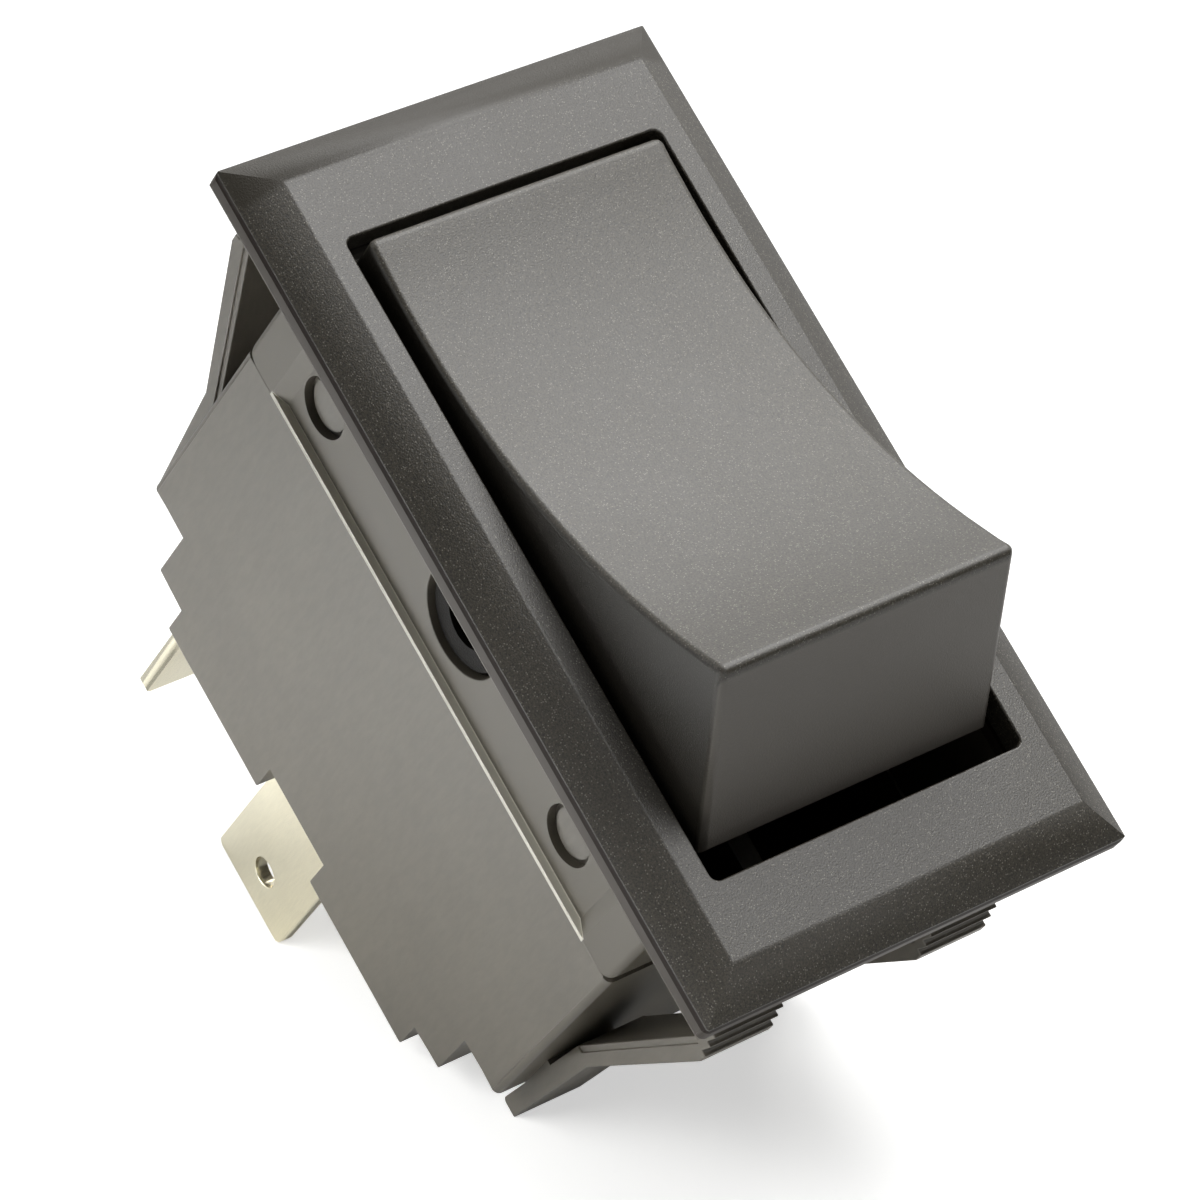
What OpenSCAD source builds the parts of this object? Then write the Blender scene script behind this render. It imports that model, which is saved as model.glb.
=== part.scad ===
// Two-pole panel rocker switch, on-off, with 6.3 mm blade terminals.
// The frame's origin is the centre of the panel cut-out, in the plane of the panel's face.
// +Z points out of the panel to the user and +X points to the raised end of the rocker.

/* [Body] */
// Length of the body, which goes through the panel cut-out
body_len = 35.2; // [33:0.1:40]
// Width of the body
body_w = 20.8; // [20:0.1:24]
// Depth of the frame's skirt behind the panel
skirt_depth = 8.1; // [7.8:0.1:10]
// Thickness of the skirt's long walls
skirt_side_wall = 1.15; // [1.1:0.05:1.4]
// Thickness of the skirt's end walls
skirt_end_wall = 0.7; // [0.6:0.05:1]
// Radius of the body's upright edges
body_edge_r = 0.4; // [0.2:0.05:0.8]
// Radius of the skirt's lower end corners
skirt_corner_r = 1; // [0.5:0.1:2]

/* [Bezel] */
// How far the bezel stands past the body at each end
bezel_over_end = 5.6; // [5.2:0.1:7]
// How far the bezel stands past the body at each side
bezel_over_side = 2.25; // [2:0.05:4]
// Height of the bezel's face over the panel
bezel_h = 2.7; // [2:0.1:4]
// Height of the set-back seat under the lip
seat_h = 0.3; // [0.2:0.02:0.5]
// How far that seat is set back from the lip
seat_in = 0.12; // [0.05:0.01:0.3]
// Height of the lip's upright face over the panel
lip_top = 0.94; // [0.7:0.02:1.1]
// Height of the bevel's foot over the panel
bevel_foot = 1.28; // [1.2:0.02:1.5]
// How far the lip leans in between its upright face and the bevel
lip_lean = 0.08; // [0.04:0.01:0.2]
// Width of the border, from the lip's outer edge to the flat face
bevel_in = 2.15; // [1.5:0.05:2.6]
// Radius of the bezel's corners
bezel_corner_r = 0.4; // [0.2:0.05:1]
// How far the opening is wider than the skirt's inside at each end
opening_ledge = 0.45; // [0.2:0.05:0.6]
// Radius of the opening's corners
opening_r = 0.45; // [0.2:0.05:1]

/* [Skirt side] */
// Length of the sunk panel in each long side
sunk_len = 30.3; // [28:0.1:32]
// Depth of the sunk panel
sunk_depth = 0.4; // [0.2:0.05:0.45]
// Length of the ramp at each end of the sunk panel
sunk_ramp = 0.9; // [0.4:0.1:1.5]
// Height of the border under the sunk panel
sunk_border = 0.12; // [0.08:0.02:0.4]
// Distance between the two catch holes
catch_span = 23.6; // [22:0.1:25]
// How far the pair of catch holes sits towards the pressed end, so that the base fits one way
catch_shift = 0.8; // [0:0.1:1]
// Depth of the catch holes' centre below the panel
catch_drop = 5.2; // [5:0.1:5.6]
// Radius of a catch hole
catch_hole_r = 1.6; // [1.4:0.05:1.75]
// Radius of the stud that snaps into it
catch_stud_r = 1.3; // [1:0.05:1.35]
// How far the stud's face stays inside the hole
catch_stud_back = 0.33; // [0.1:0.01:0.4]

/* [Rocker] */
// Depth of the rocker's pivot below the panel
pivot_drop = 3.85; // [3.6:0.05:4.2]
// Radius of the pivot holes in the skirt
pivot_hole_r = 2.85; // [2.5:0.05:2.95]
// Running clearance on the radius of each trunnion and plunger
running_gap = 0.05; // [0.02:0.01:0.08]
// How far the trunnion's end stays inside the hole
trunnion_back = 0.3; // [0.2:0.05:0.35]
// Radius of the hollow in the trunnion
trunnion_hollow_r = 1.5; // [1:0.1:2]
// Depth of the hollow in the trunnion
trunnion_hollow = 1.7; // [1:0.1:2]
// Chamfer round the trunnion's end
trunnion_edge = 0.2; // [0.1:0.05:0.25]
// Tilt of the rocker to each side of its middle
rocker_tilt = 15.5; // [13:0.5:17]
// Height of the rocker's end edges over the pivot
rocker_h = 11.6; // [11:0.1:13]
// Depth of the hollow in the rocker's face
rocker_sag = 2.85; // [2:0.05:3.2]
// Slope of the rocker's ends, which lean out towards the body
rocker_flare = 14; // [12:0.5:15]
// Length of the rocker's end walls
rocker_end_len = 10.6; // [9.6:0.1:10.7]
// Gap between the rocker and the opening's long sides
rocker_side_gap = 0.6; // [0.4:0.05:0.8]
// Gap between the pressed end and the opening's end
rocker_end_gap = 0.65; // [0.55:0.05:1]
// Wall thickness of the rocker
rocker_wall = 1.5; // [1.2:0.1:2]
// Half length of the solid middle of the rocker
hub_half = 3.4; // [3.1:0.1:3.8]
// Outer radius of the guide tubes for the plungers
tube_r = 2.9; // [2.6:0.1:3]
// Length of the guide tubes below the pivot
tube_drop = 5.2; // [4.8:0.1:5.6]
// Thickness of the rocker over the bores for the plungers
bore_roof = 3.2; // [3:0.1:3.6]

/* [Base] */
// Depth of the base below the panel
base_depth = 28.8; // [27:0.1:32]
// Height of the small step at the bottom
low_step_h = 2.25; // [1.5:0.05:3]
// Length of the small step at the bottom
low_step_len = 2.35; // [1.5:0.05:3]
// Height of the large step over the small one
end_step_h = 3.85; // [3:0.05:5]
// Length of the large step
end_step_len = 3.1; // [2.6:0.05:3.6]
// Width of the notch across the bottom
notch_w = 5.6; // [4:0.1:6]
// Wall thickness of the base
base_wall = 1.3; // [1.1:0.05:1.5]
// Thickness of the wall between the two poles
partition_t = 1.2; // [1:0.1:2]
// Gap between the pressed end of the rocker and its stop
stop_gap = 0.28; // [0.1:0.02:0.5]
// Gap between the ears and the rocker
ear_gap = 0.2; // [0.15:0.05:0.3]
// Thickness of the ears that carry the catch studs
ear_t = 0.6; // [0.4:0.05:0.65]
// Width of the ears
ear_w = 4.2; // [3.6:0.1:5]
// How far the ears run down inside the base
ear_root = 2; // [1.5:0.1:3]
// How far the end ribs run down inside the base
spigot_root = 1.5; // [1:0.1:2]

/* [Snap legs] */
// Distance from the body's side to the middle of a leg
leg_in = 3.85; // [2.5:0.05:5]
// Width of a leg
leg_w = 4.1; // [3:0.1:5]
// Thickness of a leg
leg_t = 1.1; // [0.8:0.05:1.4]
// Depth of the leg's foot below the panel
leg_foot_drop = 25.4; // [24.6:0.1:27]
// Depth of the bend below the panel
leg_bend_drop = 16.5; // [15:0.1:18]
// Gap between the leg and the body at the bend
leg_gap = 0.55; // [0.3:0.05:0.9]
// Splay of the leg above the bend
leg_splay = 20; // [15:0.5:22]
// Height of the web that joins a leg to the base
leg_root_h = 3; // [2:0.1:4]
// Thickness of the narrower layer on the leg's inner face
leg_layer_t = 0.38; // [0.2:0.02:0.6]
// How far that layer is set back at each side
leg_layer_in = 0.12; // [0.05:0.01:0.3]
// Depth of the lowest tooth below the panel
tooth_drop = 6.65; // [6.5:0.05:8]
// Height of one tooth
tooth_pitch = 0.8; // [0.6:0.02:0.9]
// How much each tooth stands further in than the one below
tooth_in = 0.16; // [0.1:0.02:0.25]
// Width of a tooth's ledge
tooth_ledge = 0.32; // [0.2:0.02:0.4]
// Number of teeth on a leg
tooth_count = 5; // [3:1:5]

/* [Terminals] */
// Width of a blade
blade_w = 6.3; // [4.8:0.1:6.3]
// Thickness of a blade
blade_t = 0.8; // [0.5:0.1:0.9]
// Depth of the blade's tip below the panel
blade_drop = 37.9; // [36:0.1:42]
// Width of the chamfer at the tip's corners
blade_corner = 0.6; // [0.3:0.1:1]
// Thickness left at the tip's edge
blade_edge_t = 0.4; // [0.2:0.05:0.45]
// Distance from the tip to the middle of the hole
blade_hole_up = 3; // [2.5:0.1:4]
// Radius of the hole in the blade
blade_hole_r = 0.84; // [0.6:0.02:1]
// Distance from the base's inner side wall to the middle of a pole
pole_in = 3.55; // [3.4:0.05:3.7]
// Distance from the base's inner end wall to the middle of an end blade
end_blade_back = 0.9; // [0.6:0.05:1.3]
// Clearance of a blade in its slot
slot_gap = 0.05; // [0.02:0.01:0.15]

/* [Contacts] */
// Distance from the rocker's pivot to the middle of the plunger's round tip
plunger_reach = 8.5; // [8.2:0.1:9]
// Radius of the plunger's tip
tip_r = 1.2; // [1:0.05:1.4]
// Radius of the plunger's body
plunger_r = 1.9; // [1.7:0.05:2]
// Length of the plunger's body
plunger_len = 4.7; // [4.2:0.1:5]
// Length of the plunger's neck between its tip and its body
tip_neck = 1.4; // [1.2:0.1:1.6]
// Clearance between the plunger's tip and the contact arm
tip_gap = 0.06; // [0.04:0.01:0.12]
// Tilt of the contact arm to each side of its middle
arm_tilt = 8; // [6:0.5:9]
// Thickness of the contact arm
arm_t = 0.8; // [0.6:0.05:0.9]
// Gap between the arm and the cheeks of its cradle
cheek_gap = 0.15; // [0.1:0.05:0.3]
// Radius of the round bead on which the arm rocks
bead_r = 0.9; // [0.8:0.05:1]
// Height of the arm's saddle over the middle of the bead
saddle_h = 1; // [0.9:0.05:1.1]
// Distance from the bead to the contact
arm_reach = 9; // [8.6:0.1:9.4]
// Length of the arm's tail past the bead
arm_tail = 6.5; // [6:0.1:7]
// Length of the stop under the arm's tail
tail_stop_len = 1.5; // [1:0.1:2]
// Radius of the moving contact
contact_r = 1.5; // [1.2:0.1:1.7]
// Height of the moving and fixed contacts
contact_h = 1; // [0.8:0.1:1.2]
// Radius of the domed face of the moving contact
contact_dome_r = 6; // [5:0.5:8]
// Gap between the closed contacts
contact_gap = 0.05; // [0.04:0.01:0.1]

/* [Plunger springs] */
// Middle radius of the spring's turns
spring_r = 1.1; // [1:0.05:1.15]
// Thickness of the spring's wire
wire_d = 0.36; // [0.25:0.01:0.4]
// Number of turns
spring_turns = 9; // [6:1:11]
// Depth of the spring's seat in the plunger
spring_seat = 2; // [1:0.1:2.5]
// Clearance around the spring in the plunger
spring_gap = 0.17; // [0.12:0.01:0.2]

/* [Hidden] */
$fn = 64;
over = 1;                       // how far a cut runs past the face it opens
lap = 0.2;                      // how far joined walls run into each other
left = -1;                      // the side of the left pole, towards -Y
right = 1;

// Frame
bezel_len = body_len + 2 * bezel_over_end;
bezel_w = body_w + 2 * bezel_over_side;
skirt_in_half = body_len / 2 - skirt_end_wall;
opening_len = 2 * (skirt_in_half + opening_ledge);
opening_w = body_w - 2 * skirt_side_wall;
sunk_face = body_w / 2 - sunk_depth;
catch_x = [-catch_span / 2 - catch_shift, catch_span / 2 - catch_shift];
cheek_out = body_w / 2 - base_wall;
pole_y = cheek_out - pole_in;
leg_y = body_w / 2 - leg_in;

// Rocker, measured from its pivot with the rocker level
pivot_z = -pivot_drop;
rocker_w = opening_w - 2 * rocker_side_gap;
rocker_half = (opening_len / 2 - rocker_end_gap - rocker_h * sin(rocker_tilt)) / cos(rocker_tilt);
rocker_face_r = (pow(rocker_half, 2) + pow(rocker_sag, 2)) / (2 * rocker_sag);
rocker_low = rocker_h - rocker_end_len;
rocker_foot = rocker_half + rocker_end_len * tan(rocker_flare);
trunnion_r = pivot_hole_r - running_gap;
trunnion_end = sunk_face - trunnion_back;
hub_low = -trunnion_r - 0.15;
bore_r = plunger_r + running_gap;
bore_top = rocker_h - rocker_sag - bore_roof;

// Plunger and spring, measured from the rocker's pivot
plunger_low = -plunger_reach + tip_r + tip_neck;
plunger_top = plunger_low + plunger_len;
spring_low = plunger_top - spring_seat;
spring_len = bore_top - spring_low;

// Contact arm, measured from the middle of its bead with the arm level.
// Its saddle is the round path of the plunger's tip, with clearance.
tip_mid_z = saddle_h + tip_gap + tip_r;
bead_z = pivot_z - plunger_reach - tip_mid_z;
tip_x = plunger_reach * sin(rocker_tilt);
tip_z = tip_mid_z + plunger_reach * (1 - cos(rocker_tilt));
tip_u = turned_x(tip_x, tip_z, arm_tilt);
tip_w = turned_z(tip_x, tip_z, arm_tilt);
path_r = (pow(tip_u, 2) + pow(tip_w - tip_mid_z, 2)) / (2 * (tip_w - tip_mid_z));
saddle_r = path_r + tip_r + tip_gap;
saddle_mid = tip_mid_z + path_r;
saddle_half = tip_u * saddle_r / path_r;
wing_top = saddle_mid - (saddle_mid - tip_w) * saddle_r / path_r;
wing_low = wing_top - arm_t;
cheek_in = 2 * pole_y - cheek_out;
arm_w = cheek_out - cheek_in - 2 * (blade_t + cheek_gap);
arm_end = arm_reach + contact_r + 0.4;

// Closed contact: the lowest point of the moving contact's dome
dome_mid = wing_low - contact_h + contact_dome_r;
touch_x = turned_x(-arm_reach, dome_mid, arm_tilt);
touch_z = bead_z + turned_z(-arm_reach, dome_mid, arm_tilt) - contact_dome_r - contact_gap;
shelf_top = touch_z - contact_h;

// Base
base_top = -skirt_depth;
end_step_z = -base_depth + low_step_h + end_step_h;
ear_in = rocker_w / 2 + ear_gap;
ear_out = ear_in + ear_t;
ear_top = catch_hole_r - catch_drop + 0.3;
leg_head_x = body_len / 2 + leg_gap + (leg_bend_drop - tooth_drop) * tan(leg_splay);
pocket_gap = 0.05;
rocker_stop = pivot_z + turned_z(-rocker_foot, rocker_low, rocker_tilt) - stop_gap;
spigot_out = skirt_in_half - 0.1;
end_blade_x = -(body_len / 2 - end_step_len - base_wall - end_blade_back);
web_z = bead_z - bead_r - 0.7 - blade_t;
tail_stop = bead_z + turned_z(arm_tail, wing_low, -arm_tilt) - 0.08;

// A point (u, v) turned by an angle, with the first axis rising for positive angles
function turned_x(u, v, a) = u * cos(a) - v * sin(a);
function turned_z(u, v, a) = u * sin(a) + v * cos(a);

// One half of an outline and its mirror image, as one closed outline
function both_sides(half) = concat(half, [for (i = [len(half) - 1:-1:0]) [-half[i][0], half[i][1]]]);

// Section of the bezel's border: seat, lip and bevel
function border(half) = both_sides([
    [half - seat_in, 0], [half - seat_in, seat_h], [half, seat_h], [half, lip_top],
    [half - lip_lean, bevel_foot], [half - bevel_in, bezel_h]
]);

// Stepped side outline of the base, moved in by one wall for the chamber
function base_outline(inset, top) = both_sides([
    [body_len / 2 - inset, top],
    [body_len / 2 - inset, end_step_z + inset],
    [body_len / 2 - end_step_len - inset, end_step_z + inset],
    [body_len / 2 - end_step_len - inset, end_step_z - end_step_h + inset],
    [body_len / 2 - end_step_len - low_step_len - inset, end_step_z - end_step_h + inset],
    [body_len / 2 - end_step_len - low_step_len - inset, -base_depth + inset],
    [notch_w / 2 + inset, -base_depth + inset],
    [notch_w / 2 + inset, -base_depth + low_step_h + inset]
]);

// Outline of a snap leg: foot, bend, splayed arm and teeth on the outside
function leg_outline() =
    let (in_low = body_len / 2 - lap, in_bend = body_len / 2 + leg_gap, in_head = leg_head_x)
    let (head_z = -tooth_drop, tip = in_head + leg_t, rise = tooth_count * tooth_pitch)
    concat(
        [[in_low, -leg_foot_drop], [in_low + leg_t, -leg_foot_drop],
         [in_bend + leg_t, -leg_bend_drop - lap],
         [tip, head_z - 0.6], [tip, head_z]],
        [for (i = [0:tooth_count - 1]) each [
            [tip - i * tooth_in - tooth_ledge, head_z + i * tooth_pitch],
            [tip - (i + 1) * tooth_in, head_z + (i + 1) * tooth_pitch]
        ]],
        [[in_head - tooth_count * tooth_in, head_z + rise],
         [in_head, head_z], [in_bend, -leg_bend_drop]]
    );

// An X-Z outline drawn across the switch, along Y
module across(width) rotate([90, 0, 0]) linear_extrude(width, center = true) children();

// A Y-Z outline drawn along the switch, along X
module along(length) rotate([90, 0, 90]) linear_extrude(length, center = true) children();

module round_rect(length, width, r) {
    square([length - 2 * r, width], center = true);
    square([length, width - 2 * r], center = true);
    for (x = [-1, 1], y = [-1, 1]) translate([x * (length / 2 - r), y * (width / 2 - r)]) circle(r);
}

// A block given by its lowest and highest corners
module block(low, high) translate(low) cube(high - low);

// Same shape on both long sides
module both_long_sides() {
    children();
    mirror([0, 1, 0]) children();
}

// ---- Frame ----

module flange() {
    intersection() {
        across(bezel_w + over) polygon(border(bezel_len / 2));
        along(bezel_len + over) polygon(border(bezel_w / 2));
        linear_extrude(bezel_h) round_rect(bezel_len, bezel_w, bezel_corner_r);
    }
}

module skirt() {
    intersection() {
        translate([0, 0, -skirt_depth]) linear_extrude(skirt_depth + lap)
            round_rect(body_len, body_w, body_edge_r);
        across(body_w + over) {
            translate([-body_len / 2, skirt_corner_r - skirt_depth]) square([body_len, skirt_depth]);
            translate([0, -skirt_depth / 2]) round_rect(body_len, skirt_depth, skirt_corner_r);
        }
    }
}

// Sunk panel with a ramp at each end
module sunk_panel() {
    half = sunk_len / 2;
    translate([0, 0, sunk_border - skirt_depth]) linear_extrude(skirt_depth - sunk_border)
        polygon([
            [-half, body_w / 2], [sunk_ramp - half, sunk_face], [half - sunk_ramp, sunk_face],
            [half, body_w / 2], [half, body_w / 2 + over], [-half, body_w / 2 + over]
        ]);
}

// Pocket in the skirt's inner face for an ear of the base, and the hole for its stud
module ear_pocket(x) {
    pocket_half = ear_w / 2 + pocket_gap;
    block([x - pocket_half, opening_w / 2 - over, -skirt_depth - over],
          [x + pocket_half, ear_out + pocket_gap, ear_top + pocket_gap]);
    translate([x, ear_in, -catch_drop]) rotate([-90, 0, 0]) cylinder(h = body_w, r = catch_hole_r);
}

module bezel_frame() {
    color("#2b2826") difference() {
        union() {
            flange();
            skirt();
        }
        translate([0, 0, -opening_r]) linear_extrude(bezel_h + over)
            round_rect(opening_len, opening_w, opening_r);
        block([-skirt_in_half, -opening_w / 2, -skirt_depth - over], [skirt_in_half, opening_w / 2, 0]);
        both_long_sides() {
            sunk_panel();
            for (x = catch_x) ear_pocket(x);
        }
        translate([0, 0, pivot_z]) rotate([90, 0, 0])
            cylinder(h = body_w + over, r = pivot_hole_r, center = true);
    }
}

// ---- Base ----

// The narrower inner layer runs along the splayed arm
module leg() {
    bend_x = body_len / 2 + leg_gap;
    translate([0, leg_y, 0]) {
        difference() {
            across(leg_w) polygon(leg_outline());
            for (side = [left, right]) translate([0, side * leg_w / 2, 0])
                across(2 * leg_layer_in) polygon([
                    [bend_x - over, -leg_bend_drop], [bend_x + leg_layer_t, -leg_bend_drop],
                    [leg_head_x + leg_layer_t, -tooth_drop], [leg_head_x - over, -tooth_drop]
                ]);
        }
        across(leg_w) translate([body_len / 2 - lap, end_step_z]) square([leg_gap, leg_root_h]);
    }
}

module ear(x) {
    block([x - ear_w / 2, ear_in, base_top - ear_root], [x + ear_w / 2, ear_out, ear_top]);
    translate([x, ear_in, -catch_drop]) rotate([-90, 0, 0])
        cylinder(h = sunk_face - catch_stud_back - ear_in, r = catch_stud_r);
}

// Rib at each end that centres the skirt and stops the pressed end of the rocker
module end_spigot() {
    half = opening_w / 2 - 0.1;
    block([spigot_out - base_wall, -half, base_top - spigot_root], [spigot_out, half, rocker_stop]);
}

// Blocks that carry the metal parts of the pole on the +Y side
module pole_supports() {
    block([-blade_w / 2 - over, cheek_in, -base_depth],
          [blade_w / 2 + over, cheek_out + base_wall / 2, web_z]);
    block([end_blade_x - 2 * lap, pole_y - blade_w / 2 - 2 * lap, -base_depth],
          [touch_x + contact_r, cheek_out + base_wall / 2, shelf_top - blade_t]);
    block([arm_tail + lap - tail_stop_len, 0, -base_depth], [arm_tail + lap, pole_y + arm_w / 2, tail_stop]);
}

// Everything inside the chamber, cut to the stepped outline of the base
module chamber_ribs() {
    across(partition_t) polygon(base_outline(base_wall / 2, base_top - 0.3));
    intersection() {
        across(body_w) polygon(base_outline(base_wall / 2, base_top));
        both_long_sides() pole_supports();
    }
}

module blade_slots() {
    block([-blade_w / 2 - slot_gap, cheek_out - blade_t - slot_gap, -base_depth - over],
          [blade_w / 2 + slot_gap, cheek_out + slot_gap, web_z + over]);
    block([end_blade_x - blade_t / 2 - slot_gap, pole_y - blade_w / 2 - slot_gap, -base_depth - over],
          [end_blade_x + blade_t / 2 + slot_gap, pole_y + blade_w / 2 + slot_gap, base_top]);
}

module base_housing() {
    color("#34312f") difference() {
        union() {
            difference() {
                intersection() {
                    across(body_w) polygon(base_outline(0, base_top));
                    translate([0, 0, -base_depth]) linear_extrude(base_depth)
                        round_rect(body_len, body_w, body_edge_r);
                }
                across(2 * cheek_out) polygon(base_outline(base_wall, base_top + over));
            }
            chamber_ribs();
            both_long_sides() for (x = catch_x) ear(x);
            for (turn = [0, 180]) rotate([0, 0, turn]) {
                end_spigot();
                both_long_sides() leg();
            }
        }
        both_long_sides() blade_slots();
    }
}

// ---- Rocker ----

// Outline of the rocker's body, with its hollow face; a wall thickness gives the inside
module rocker_outline(inset, low) {
    slope = tan(rocker_flare);
    half = rocker_half - inset / cos(rocker_flare);
    foot = half + (rocker_h - low) * slope;
    difference() {
        polygon([[-half, rocker_h], [half, rocker_h], [foot, low], [-foot, low]]);
        translate([0, rocker_h - rocker_sag + rocker_face_r]) circle(rocker_face_r + inset, $fn = 180);
    }
}

// The four hollows in the rocker's underside
module rocker_hollows() {
    hollow_w = rocker_w / 2 - 1.5 * rocker_wall;
    for (side = [left, right]) translate([0, side * (hollow_w + rocker_wall) / 2, 0])
        across(hollow_w) difference() {
            rocker_outline(rocker_wall, rocker_low - over);
            square([2 * hub_half, 3 * rocker_h], center = true);
        }
}

module rocker() {
    color("#2d2a28") translate([0, 0, pivot_z]) rotate([0, -rocker_tilt, 0]) difference() {
        union() {
            difference() {
                across(rocker_w) rocker_outline(0, rocker_low);
                rocker_hollows();
            }
            block([-hub_half, -rocker_w / 2, hub_low], [hub_half, rocker_w / 2, rocker_low + 1]);
            rotate([90, 0, 0]) rotate_extrude() polygon([
                [0, -trunnion_end], [trunnion_r - trunnion_edge, -trunnion_end],
                [trunnion_r, trunnion_edge - trunnion_end], [trunnion_r, trunnion_end - trunnion_edge],
                [trunnion_r - trunnion_edge, trunnion_end], [0, trunnion_end]
            ]);
            for (side = [left, right]) translate([0, side * pole_y, -tube_drop])
                cylinder(h = tube_drop + hub_low / 2, r = tube_r);
        }
        for (side = [left, right]) {
            translate([0, side * pole_y, -tube_drop - over])
                cylinder(h = tube_drop + over + bore_top, r = bore_r);
            translate([0, side * (trunnion_end + over), 0]) rotate([side * 90, 0, 0])
                cylinder(h = trunnion_hollow + over, r = trunnion_hollow_r);
        }
    }
}

// What rides in the rocker is placed in its tilted frame, on one pole
module in_rocker(side) translate([0, side * pole_y, pivot_z]) rotate([0, -rocker_tilt, 0]) children();

module plunger(side) {
    color("#d8c9a0") in_rocker(side) difference() {
        union() {
            translate([0, 0, plunger_low]) cylinder(h = plunger_len, r = plunger_r);
            translate([0, 0, -plunger_reach]) cylinder(h = plunger_low + plunger_reach + over / 2, r = tip_r);
            translate([0, 0, -plunger_reach]) sphere(tip_r);
        }
        translate([0, 0, spring_low])
            cylinder(h = spring_seat + over, r = spring_r + wire_d / 2 + spring_gap);
    }
}

// Coil spring: rings of the wire carried along a helix, with closed ends
module plunger_spring(side) {
    wire_sides = 6;
    steps = 16 * spring_turns;
    rise = spring_len - wire_d - 0.04;
    ring = [for (i = [0:wire_sides - 1]) 360 * i / wire_sides];
    points = [for (k = [0:steps]) for (a = ring)
        let (turn = 360 * spring_turns * k / steps, r = spring_r + wire_d / 2 * cos(a))
        [r * cos(turn), r * sin(turn), rise * k / steps + wire_d / 2 * sin(a)]];
    sides = [for (k = [0:steps - 1]) for (i = [0:wire_sides - 1])
        let (a = k * wire_sides, b = a + wire_sides, j = (i + 1) % wire_sides)
        each [[a + i, b + i, b + j], [a + i, b + j, a + j]]];
    caps = [[for (i = [0:wire_sides - 1]) i], [for (i = [wire_sides - 1:-1:0]) steps * wire_sides + i]];
    color("#b9bcc0") in_rocker(side) translate([0, 0, spring_low + wire_d / 2 + 0.02])
        polyhedron(points, concat(sides, caps), convexity = 10);
}

// ---- Contacts and terminals ----

// What rides on the contact arm is placed in its tilted frame, on one pole
module on_arm(side) translate([0, side * pole_y, bead_z]) rotate([0, arm_tilt, 0]) children();

// Stamped strip with a round saddle for the plunger and a bead that rocks in the cradle
module contact_arm(side) {
    color("#c98f5a") on_arm(side) {
        across(arm_w) difference() {
            union() {
                translate([-arm_end, wing_low]) square([arm_end + arm_tail, arm_t]);
                intersection() {
                    translate([0, saddle_mid]) circle(saddle_r + arm_t, $fn = 96);
                    translate([-saddle_half - 0.5, 0]) square([2 * saddle_half + 1, wing_top]);
                }
            }
            translate([0, saddle_mid]) circle(saddle_r, $fn = 96);
        }
        rotate([90, 0, 0]) cylinder(h = cheek_out - cheek_in, r = bead_r, center = true);
    }
}

module arm_contact(side) {
    color("#dfe0dc") on_arm(side) intersection() {
        translate([-arm_reach, 0, wing_low - contact_h]) cylinder(h = contact_h, r = contact_r);
        translate([-arm_reach, 0, dome_mid]) sphere(contact_dome_r);
    }
}

module fixed_contact(side) {
    color("#dfe0dc") translate([touch_x, side * pole_y, shelf_top])
        cylinder(h = contact_h, r = contact_r + 0.2);
}

// Blade in the X-Z plane, standing on its tip, with chamfered corners, thin edges and a hole
module blade(top) {
    tip = -blade_drop;
    half = blade_w / 2;
    taper = (blade_t - blade_edge_t) / 2;
    difference() {
        intersection() {
            across(blade_t) polygon([
                [-half, top], [half, top], [half, tip + blade_corner],
                [half - blade_corner, tip], [blade_corner - half, tip], [-half, tip + blade_corner]
            ]);
            along(blade_w) polygon([
                [-blade_t / 2, top], [blade_t / 2, top], [blade_t / 2, tip + 2 * taper],
                [blade_edge_t / 2, tip], [-blade_edge_t / 2, tip], [-blade_t / 2, tip + 2 * taper]
            ]);
        }
        translate([0, 0, tip + blade_hole_up]) rotate([90, 0, 0])
            cylinder(h = blade_t + over, r = blade_hole_r, center = true);
    }
}

// U-shaped cradle for the arm's bead, with the blade running down from its outer cheek
module common_terminal(side) {
    cheek_top = bead_z + bead_r / 2;
    slot_r = bead_r + running_gap;
    color("#e4dcc8") mirror([0, side == left ? 1 : 0, 0]) difference() {
        union() {
            translate([0, cheek_out - blade_t / 2, 0]) blade(cheek_top);
            block([-blade_w / 2, cheek_in, web_z], [blade_w / 2, cheek_out, web_z + blade_t]);
            block([-blade_w / 2, cheek_in, web_z], [blade_w / 2, cheek_in + blade_t, cheek_top]);
        }
        translate([0, pole_y, bead_z]) rotate([90, 0, 0]) cylinder(h = body_w, r = slot_r, center = true);
        block([-slot_r, 0, bead_z], [slot_r, body_w, cheek_top + over]);
    }
}

// Blade across the end of the base, bent inwards to a shelf for the fixed contact
module end_terminal(side) {
    shelf_end = touch_x + contact_r + 0.5;
    color("#e4dcc8") {
        translate([end_blade_x, side * pole_y, 0]) rotate([0, 0, 90]) blade(shelf_top);
        translate([0, side * pole_y, 0])
            block([end_blade_x - blade_t / 2, -blade_w / 2, shelf_top - blade_t],
                  [shelf_end, blade_w / 2, shelf_top]);
    }
}

bezel_frame();
base_housing();
rocker();
plunger(left);  // plunger_left
plunger(right);  // plunger_right
plunger_spring(left);  // plunger_spring_left
plunger_spring(right);  // plunger_spring_right
contact_arm(left);  // contact_arm_left
contact_arm(right);  // contact_arm_right
arm_contact(left);  // arm_contact_left
arm_contact(right);  // arm_contact_right
fixed_contact(left);  // fixed_contact_left
fixed_contact(right);  // fixed_contact_right
common_terminal(left);  // common_terminal_left
common_terminal(right);  // common_terminal_right
end_terminal(left);  // end_terminal_left
end_terminal(right);  // end_terminal_right
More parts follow.
